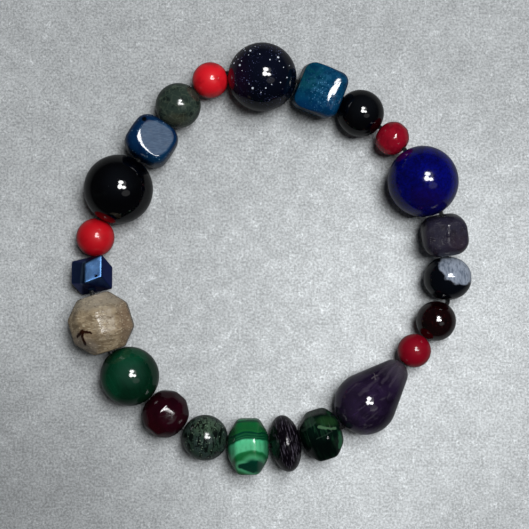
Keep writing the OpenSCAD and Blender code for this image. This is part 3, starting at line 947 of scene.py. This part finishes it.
def beige(bead, colours):
    """Beige with rows of grain, brown, grey and pale patches and dark marks."""
    paint = Finish("beige_stone", bead, colours.beige, Specular_IOR_Level=0.25)
    grain = paint.stretched(paint.above, (0.6, 1.7, 1.0))
    rows = paint.mask("Mottle", vector=grain, Scale=0.8, Detail=5.0, Distortion=0.5, Low=0.42, High=0.6)
    paint.over(seen(108, 92, 72), rows, 0.7)
    olive = paint.mask("Patch", Centre=(-0.6, 4.0, 2.6), Size=(4.6, 2.2, 3), Soft=0.5, Ragged=0.8)
    paint.over(seen(166, 158, 142), olive, 0.7)
    brown = paint.mask("Patch", Centre=(4.4, 0.2, 2.2), Size=(1.7, 3.8, 3), Soft=0.5, Ragged=0.8)
    paint.over(seen(126, 104, 84), brown, 0.7)
    pale = paint.mask("Patch", Centre=(1.3, 0.1, 5.0), Size=(1.9, 2.6, 1.6), Soft=0.25, Ragged=0.5)
    milky = paint.mask("Mottle", Scale=1.4, Detail=5.0, Low=0.38, High=0.56)
    paint.over(colours.beige_pale, paint.times(pale, milky), 0.55)
    grey = paint.mask("Patch", Centre=(-2.4, -3.4, 3.0), Size=(2.6, 2.2, 2.2), Soft=0.3, Ragged=0.6)
    paint.over(seen(128, 118, 108), grey, 0.7)
    flakes = paint.mask("Flecks", vector=grain, Scale=1.8, Size=0.4, Share=0.45)
    paint.over(seen(198, 186, 160), flakes, 0.6)
    grains = paint.mask("Flecks", vector=grain, Scale=2.6, Size=0.34, Share=0.35)
    paint.over(seen(84, 70, 54), grains, 0.6)
    cracks = paint.mask("Veins", vector=grain, Scale=0.6, Width=0.04, Warp=2.2)
    paint.over(seen(82, 66, 50), cracks, 0.4)
    paint.strokes(seen(40, 18, 9), (
        ((-3.7, -2.1), (-2.7, -1.1), 0.6), ((-2.7, -1.1), (-1.2, -1.5), 0.45),
        ((-2.7, -1.1), (-2.7, -2.4), 0.55), ((-2.7, -2.4), (-2.3, -3.4), 0.55)), 0.7)
    return paint.polish(0.17, 0.5, 0.06, paint.times(cracks, -0.4))


def blue_metal(bead, colours):
    """A blue metallic coating, with painted shade that makes the faces that look sideways a darker, deeper
    blue.
    """
    paint = Finish("blue_metal", bead, colours.metal, Metallic=1.0)
    clouds = paint.mask("Mottle", Scale=0.8, Detail=5.0, Low=0.4, High=0.7)
    paint.over(seen(44, 70, 116), clouds, 0.5)
    pale = paint.mask("Flecks", Scale=2.6, Size=0.34, Share=0.3)
    paint.over(seen(110, 140, 178), pale, 0.3)
    # painted shade: the faces that look sideways painted a darker, deeper blue
    upward = paint.tree.nodes.new("ShaderNodeNewGeometry").outputs["True Normal"]
    upward = vector_node(paint.tree, "DOT_PRODUCT", upward, (0, 0, 1))
    paint.over(seen(46, 68, 152), step_node(paint.tree, upward, 0.5, 0.8, 1.0, 0.0))
    edge = paint.mask("Stroke", From=(-1.2, 2.6, 2.6), To=(-1.4, -2.0, 2.6), Width=0.8, Ragged=0.3)
    paint.over(seen(128, 160, 196), edge, 0.6)
    # painted shade in a small pit on the top, with a dent in the relief
    shaded_pit = paint.mask("Patch", Centre=(1.0, -0.1, 3.0), Size=(0.22, 0.22, 1.0), Soft=0.3, Ragged=0.2)
    paint.over(seen(6, 8, 20), shaded_pit)
    return paint.polish(0.3, 0.5, 0.06, paint.times(shaded_pit, -3.0))


# The ground face of the navy cube: where it faces, and a point on it, in
# millimetres right of, up from and above the bead's middle
NAVY_FACE = (0.26, 0.17, 1)
NAVY_POINT = (0.6, 1.0, 3.4)


def navy_agate(bead, colours):
    """Navy with pale specks, a ground face painted milky grey blue, partly frosted and partly a painted
    reflection, and painted shade at the mouth of its hole.
    """
    paint = Finish("navy_agate", bead, colours.navy)
    deep = paint.mask("Mottle", Scale=0.45, Detail=5.0, Distortion=0.5, Low=0.42, High=0.66)
    paint.over(seen(5, 28, 64), deep, 0.85)
    teal = paint.mask("Patch", Centre=(1.6, -4.2, 2.4), Size=(3.0, 2.2, 3), Soft=0.6, Ragged=0.6)
    paint.over(seen(4, 52, 82), teal, 0.6)
    dust = paint.mask("Flecks", Scale=4.0, Size=0.3, Share=0.3)
    paint.over(seen(40, 84, 120), dust, 0.4)
    specks = paint.mask("Flecks", Scale=1.9, Size=0.22, Share=0.34)
    paint.over(seen(130, 168, 196), specks, 0.7)
    facing = Vector(NAVY_FACE).normalized()
    level = facing.dot(Vector(NAVY_POINT))
    height = vector_node(paint.tree, "DOT_PRODUCT", paint.above, tuple(facing))
    face = step_node(paint.tree, height, level - 0.12, level - 0.02)
    # the ground face painted a paler, milky grey blue: partly its frosted surface, partly a painted
    # reflection of the light
    brushed = paint.stretched(paint.above, (0.5, 2.0, 1.0))
    frost_and_reflection = paint.mask("Mottle", vector=brushed, Scale=1.8, Detail=5.0, Low=0.36, High=0.66)
    middle = paint.mask("Patch", vector=paint.flat, Centre=(0.8, 0.3, 0), Size=(3.0, 3.0, 1),
                        Soft=0.08, Ragged=0.15)
    face = paint.times(face, middle)
    paint.over(seen(44, 72, 102), face, 0.9)
    paint.over(seen(78, 104, 134), paint.times(frost_and_reflection, face), 0.5)
    # painted shade at the mouth of the hole, with a dent in the relief
    shaded_pit = paint.mask("Patch", Centre=(-1.0, 3.6, 3.4), Size=(0.42, 0.42, 1.5), Soft=0.3, Ragged=0.4)
    paint.over(seen(2, 3, 6), shaded_pit)
    return paint.polish(0.06, 0.25, 0.03, paint.times(shaded_pit, -4.0))


def moss(bead, colours):
    """Grey green with pale and dark clouds and thin threads."""
    paint = Finish("moss_stone", bead, colours.moss)
    pale = paint.mask("Mottle", Scale=0.7, Detail=5.0, Distortion=0.6, Low=0.5, High=0.68)
    paint.over(seen(80, 94, 80), pale, 0.6)
    dark = paint.mask("Mottle", vector=paint.along, Scale=0.6, Detail=5.0, Low=0.5, High=0.66)
    paint.over(seen(20, 28, 26), dark, 0.8)
    brown = paint.mask("Patch", Centre=(-0.4, -2.6, 2.6), Size=(2.2, 1.0, 2), Soft=0.5, Ragged=0.9)
    paint.over(seen(70, 68, 52), brown, 0.45)
    threads = paint.mask("Veins", Scale=0.8, Width=0.05, Warp=1.6)
    paint.over(seen(104, 116, 96), threads, 0.3)
    return paint.polish(0.1, 0.4, 0.03)


def object_millimetres(tree):
    place = tree.nodes.new("ShaderNodeTexCoord").outputs["Object"]
    return vector_node(tree, "SCALE", place, 1 / MM)


def clear_elastic(colours):
    """Clear cord, a little cloudy and rough."""
    material, shader = new_material("clear_elastic", Transmission_Weight=0.85, IOR=1.45)
    tree = material.node_tree
    place = object_millimetres(tree)
    cloud = noise_node(tree, place, 1.6)
    shade = mix_node(tree, cloud, (*colours.elastic, 1), (*seen(60, 62, 64), 1))
    tree.links.new(shade, shader.inputs["Base Color"])
    tree.links.new(step_node(tree, cloud, 0.3, 0.7, 0.18, 0.34), shader.inputs["Roughness"])
    add_bump(tree, noise_node(tree, place, 5.0, 2.0), 0.02, shader)
    return material


# Painted light on the floor, pools of light and darker stretches where it falls off: middle and half
# widths in millimetres, softness, and how bright each is beside the rest
FLOOR_LIGHT_POOLS = (
    ((24, -14, 0), (31, 31, 1), 0.82, 1.46), ((-64, -56, 0), (42, 36, 1), 0.6, 0.6),
    ((-50, 44, 0), (36, 30, 1), 0.7, 0.9), ((2, -48, 0), (22, 14, 1), 0.9, 1.15),
)


def floor_surface(colours):
    """Pale paper with a faint weave, clouds, fibres, and painted pools of light and darker stretches."""
    material, shader = new_material("floor", Roughness=0.8, Specular_IOR_Level=0.1)
    tree = material.node_tree
    place = object_millimetres(tree)
    paper = noise_node(tree, place, 2.5, 3.0, 0.8)
    for weave in ((0.35, 3.0, 1), (3.0, 0.35, 1)):
        threads = noise_node(tree, vector_node(tree, "MULTIPLY", place, weave), 1.2, 3.0, 0.6)
        paper = math_node(tree, "ADD", paper, math_node(tree, "MULTIPLY", threads, 0.1))
    cloud = noise_node(tree, place, 0.14, 3.0)
    tone = math_node(tree, "ADD", paper, math_node(tree, "MULTIPLY", cloud, 0.12))
    blotch = step_node(tree, noise_node(tree, place, 0.4, 4.0), 0.35, 0.68, -0.025, 0.03)
    tone = math_node(tree, "ADD", tone, blotch)
    look = vector_node(tree, "SCALE", tuple(colours.floor), step_node(tree, tone, 0.42, 0.9, 0.6, 1.4))
    # pale fibres: thin winding lines that show in scattered places
    winding = math_node(tree, "SUBTRACT", noise_node(tree, place, 0.8, 3.0, 0.5, 0.6), 0.5)
    line = step_node(tree, math_node(tree, "ABSOLUTE", winding), 0.0, 0.03, 0.4, 0.0)
    shown = step_node(tree, noise_node(tree, place, 0.42, 3.0), 0.5, 0.62)
    fibres = math_node(tree, "MULTIPLY", line, shown)
    look = vector_node(tree, "SCALE", look, math_node(tree, "ADD", fibres, 1.0))
    for centre, size, soft, bright in FLOOR_LIGHT_POOLS:
        patch = group_node(tree, "Patch", place, Centre=centre, Size=size, Soft=soft, Ragged=0.3,
                           Grain=0.05)
        strength = math_node(tree, "MULTIPLY", patch["Mask"], bright - 1.0)
        look = vector_node(tree, "SCALE", look, math_node(tree, "ADD", strength, 1.0))
    # the stones mirror the floor darker, and darker still farther out
    mirrored = tree.nodes.new("ShaderNodeLightPath").outputs["Is Glossy Ray"]
    away = vector_node(tree, "LENGTH", place)
    away = step_node(tree, away, 35.0, 110.0, 0.3, 0.04)
    look = vector_node(tree, "SCALE", look, step_node(tree, mirrored, 0.0, 1.0, 1.0, away))
    tree.links.new(look, shader.inputs["Base Color"])
    add_bump(tree, paper, 0.08, shader)
    return material


# Operators

class BRACELET_OT_effects(bpy.types.Operator):
    """Build the shader groups that the stones share"""
    bl_idname = "bracelet.effects"
    bl_label = "Shared effects"

    def execute(self, context):
        for build in (build_mottle, build_flecks, build_veins, build_patch, build_stroke,
                      build_polish):
            build()
        return {"FINISHED"}


class BRACELET_OT_round_beads(bpy.types.Operator):
    """Give the round beads and the drop, whose CAD shapes stay, their stones"""
    bl_idname = "bracelet.round_beads"
    bl_label = "Round beads and drop"

    def execute(self, context):
        stones = {
            "red_bead_top": bright_red, "goldstone_bead": goldstone, "small_black_bead": black_onyx,
            "lapis_bead": lapis, "garnet_bead": garnet, "cherry_bead": cherry,
            "amethyst_drop": amethyst, "speckled_bead": speckled, "green_bead": cat_green,
            "red_bead_left": bright_red, "large_black_bead": black_onyx, "moss_bead": moss,
        }
        colours = context.scene.bracelet_colours
        for name, stone in stones.items():
            piece = NODES[name]
            piece.material_slots[0].material = stone(Bead(name), colours)
        return {"FINISHED"}


def shaped_piece(context, bead, suffix, reach, stone):
    """One bead's finished mesh with its stone on it."""
    sizes = context.scene.bracelet_sizes
    piece = spun_piece(bead.name + suffix, bead, reach, sizes.rim / MM, sizes.rings, sizes.sides)
    put_on(piece, stone(bead, context.scene.bracelet_colours))


def cut_piece(context, bead, sharpness, stone, more=()):
    """A faceted bead: the CAD stone's facets and any more, and soft edges between them."""
    reach = rounded_facets(bead.facets() + list(more), sharpness)
    shaped_piece(context, bead, "_cut", reach, stone)


# A facet on top of the wine red ball that the CAD stone, with its even rows,
# doesn't have: where it faces, and how far out it lies beside the ball's half height
WINE_FACET = (0.265, 0.05, 1)
WINE_FACET_OUT = 0.962


class BRACELET_OT_faceted_balls(bpy.types.Operator):
    """Make the three faceted balls with soft edges between their facets"""
    bl_idname = "bracelet.faceted_balls"
    bl_label = "Faceted balls"

    def execute(self, context):
        cut_piece(context, Bead("red_faceted_bead"), 22, raspberry)
        cut_piece(context, Bead("snowflake_bead"), 16, snowflake)
        bead = Bead("wine_faceted_bead")
        facing = bead.own(Vector(WINE_FACET).normalized())
        cut_piece(context, bead, 34, wine, [(facing, WINE_FACET_OUT * bead.half[2])])
        return {"FINISHED"}


class BRACELET_OT_cut_barrels(bpy.types.Operator):
    """Make the beige bead and the two green barrels with their flat sides"""
    bl_idname = "bracelet.cut_barrels"
    bl_label = "Cut barrels"

    def execute(self, context):
        cut_piece(context, Bead("beige_cut_bead"), 42, beige)
        cut_piece(context, Bead("malachite_barrel"), 20, malachite)
        cut_piece(context, Bead("dark_green_barrel"), 18, tiger_green)
        return {"FINISHED"}


# The ground top of the teal cube: where it faces, how far it lies below the
# middle of the worn box's top, and how much it is domed
TEAL_FACE = (-0.2, 0.1, 1)
TEAL_GROUND = 0.55
TEAL_DOME = 0.03

# The ridge on the purple cube: how far it lies right of the middle and below
# the top, and where the two slopes that meet in it face
PURPLE_RIDGE = (0.4, 0.15)
PURPLE_SLOPES = ((-0.16, -0.06, 1), (0.32, -0.06, 1))


class BRACELET_OT_cubes(bpy.types.Operator):
    """Make the teal, navy and purple cubes with their worn corners"""
    bl_idname = "bracelet.cubes"
    bl_label = "Tumbled cubes"

    def execute(self, context):
        bead = Bead("teal_cube_bead")
        top = bead.own((0, 0, bead.half[2] - TEAL_GROUND))
        stone = ground_flat(worn_box(bead.half, 1.6, 0.12), bead.own(TEAL_FACE), top, 0.2, TEAL_DOME)
        shaped_piece(context, bead, "_worn", field_reach(stone), teal_agate)

        bead = Bead("navy_cube_bead")
        stone = ground_flat(worn_box(bead.half, 1.5, 0.5), bead.own(NAVY_FACE), bead.own(NAVY_POINT), 0.2)
        shaped_piece(context, bead, "_worn", field_reach(stone), navy_agate)

        bead = Bead("purple_cube_bead")
        stone = worn_box(bead.half, 2.0, 0.3)
        ridge = bead.own((PURPLE_RIDGE[0], 0, bead.half[2] - PURPLE_RIDGE[1]))
        for slope in PURPLE_SLOPES:
            stone = ground_flat(stone, bead.own(slope), ridge, 0.06)
        shaped_piece(context, bead, "_worn", field_reach(stone), purple_grey)
        return {"FINISHED"}


class BRACELET_OT_disc(bpy.types.Operator):
    """Make the flat disc with its smooth oval edge"""
    bl_idname = "bracelet.disc"
    bl_label = "Disc"

    def execute(self, context):
        bead = Bead("black_disc_bead")
        reach = oval(bead.half[0] + 0.02, bead.half[2], 2.05)
        shaped_piece(context, bead, "_smooth", reach, disc_stone)
        return {"FINISHED"}


class BRACELET_OT_metal_cube(bpy.types.Operator):
    """Make the blue metal cube with its worn edges"""
    bl_idname = "bracelet.metal_cube"
    bl_label = "Metal cube"

    def execute(self, context):
        cut_piece(context, Bead("blue_metal_cube"), 40, blue_metal)
        return {"FINISHED"}


class BRACELET_OT_elastic(bpy.types.Operator):
    """Give the elastic cord, whose CAD shape stays, its clear finish"""
    bl_idname = "bracelet.elastic"
    bl_label = "Elastic"

    def execute(self, context):
        material = clear_elastic(context.scene.bracelet_colours)
        NODES["elastic_cord"].material_slots[0].material = material
        return {"FINISHED"}


def add_light(name, target, way, size, power):
    """A flat lamp at an offset from the target that it faces."""
    lamp = bpy.data.lights.new(name, "AREA")
    lamp.shape = "ELLIPSE"
    lamp.size, lamp.size_y = size
    lamp.energy = power
    light = bpy.data.objects.new(name, lamp)
    back = way.normalized()
    across = Vector((1, 0, 0))
    side = (across - back * across.dot(back)).normalized()
    turn = Matrix((side, back.cross(side), back)).transposed().to_4x4()
    light.matrix_world = Matrix.Translation(target + way) @ turn
    bpy.context.scene.collection.objects.link(light)


# The camera's view: its middle right of and up from the loop's middle, half the
# width that it shows, and the height over the floor where it shows that width,
# in millimetres
VIEW_MIDDLE = (-1.13, -0.98)
VIEW_HALF_WIDTH = 45.53
VIEW_LEVEL = 5

# How far the floor lies below the surface of the frame, in millimetres, so that
# no bead's lowest point is lost in it
FLOOR_DROP = 0.02

# The way from the bracelet to the main light
KEY_WAY = (0.28, 0.27, 1)

# The lamps: how far right and up each is turned from the way to the main light,
# its two sizes in metres, and its brightness. Together the first four are the
# window that the stones mirror.
LAMPS = (
    ("key_top", (-0.06, 0.12), (0.3, 0.22), 26.0),
    ("key_low", (-0.12, -0.13), (0.25, 0.26), 28.0),
    ("key_right", (0.11, -0.17), (0.23, 0.17), 28.0),
    ("key_dim", (0.15, 0.07), (0.22, 0.33), 1.2),
    ("fill_low", (0.26, -0.52), (0.55, 0.38), 0.45),
)


# The faint even light from all round
SKY_COLOUR = (0.9, 0.95, 1.0)
SKY_STRENGTH = 0.025


def lay_floor(size, colours):
    half = size / 2
    mesh = bpy.data.meshes.new("floor")
    corners = ((-half, -half, 0), (half, -half, 0), (half, half, 0), (-half, half, 0))
    mesh.from_pydata(corners, [], [(0, 1, 2, 3)])
    floor = bpy.data.objects.new("floor", mesh)
    floor.location.z = -FLOOR_DROP * MM
    bpy.context.scene.collection.objects.link(floor)
    put_on(floor, floor_surface(colours))


def light_sky():
    world = bpy.data.worlds.new("studio")
    world.use_nodes = True
    sky = world.node_tree.nodes["Background"].inputs
    sky["Color"].default_value = (*SKY_COLOUR, 1)
    sky["Strength"].default_value = SKY_STRENGTH
    bpy.context.scene.world = world


def hang_lamps(distance):
    target = Vector((0, 0, VIEW_LEVEL * MM))
    key = Vector(KEY_WAY).normalized()
    for name, shift, size, glow in LAMPS:
        way = (key + Vector((*shift, 0))) * distance
        area = math.pi / 4 * size[0] * size[1]
        add_light(name, target, way, size, glow * math.pi * area)


def place_camera(height):
    """A camera that looks straight down."""
    view = bpy.data.cameras.new("camera")
    view.sensor_fit = "HORIZONTAL"
    view.angle = 2 * math.atan(VIEW_HALF_WIDTH * MM / (height - VIEW_LEVEL * MM))
    view.clip_start = 0.01
    camera = bpy.data.objects.new("camera", view)
    camera.location = (VIEW_MIDDLE[0] * MM, VIEW_MIDDLE[1] * MM, height)
    bpy.context.scene.collection.objects.link(camera)
    bpy.context.scene.camera = camera


class BRACELET_OT_stage(bpy.types.Operator):
    """Lay the floor, hang the lamps and set up the camera above the loop"""
    bl_idname = "bracelet.stage"
    bl_label = "Stage"

    def execute(self, context):
        sizes = context.scene.bracelet_sizes
        lay_floor(sizes.floor, context.scene.bracelet_colours)
        light_sky()
        hang_lamps(sizes.light_distance)
        place_camera(sizes.camera_height)
        context.scene.view_settings.view_transform = "Standard"
        return {"FINISHED"}


class BRACELET_PT_panel(bpy.types.Panel):
    """Sizes, colours and steps of the bracelet"""
    bl_idname = "BRACELET_PT_panel"
    bl_label = "Beaded bracelet"
    bl_space_type = "VIEW_3D"
    bl_region_type = "UI"
    bl_category = "Bracelet"

    def draw(self, context):
        for settings in (context.scene.bracelet_sizes, context.scene.bracelet_colours):
            for name in settings.__annotations__:
                self.layout.prop(settings, name)
        for step in STEPS:
            self.layout.operator(step.bl_idname)


STEPS = (
    BRACELET_OT_effects, BRACELET_OT_stage, BRACELET_OT_round_beads, BRACELET_OT_faceted_balls,
    BRACELET_OT_cut_barrels, BRACELET_OT_cubes, BRACELET_OT_disc, BRACELET_OT_metal_cube,
    BRACELET_OT_elastic,
)
CLASSES = (StoneColours, BraceletSizes) + STEPS + (BRACELET_PT_panel,)


def register():
    for kind in CLASSES:
        bpy.utils.register_class(kind)
    bpy.types.Scene.bracelet_colours = bpy.props.PointerProperty(type=StoneColours)
    bpy.types.Scene.bracelet_sizes = bpy.props.PointerProperty(type=BraceletSizes)


def unregister():
    del bpy.types.Scene.bracelet_sizes
    del bpy.types.Scene.bracelet_colours
    for kind in reversed(CLASSES):
        bpy.utils.unregister_class(kind)


def main():
    register()
    bpy.ops.bracelet.effects()
    bpy.ops.bracelet.stage()
    bpy.ops.bracelet.round_beads()
    bpy.ops.bracelet.faceted_balls()
    bpy.ops.bracelet.cut_barrels()
    bpy.ops.bracelet.cubes()
    bpy.ops.bracelet.disc()
    bpy.ops.bracelet.metal_cube()
    bpy.ops.bracelet.elastic()


if __name__ == "__main__":
    main()
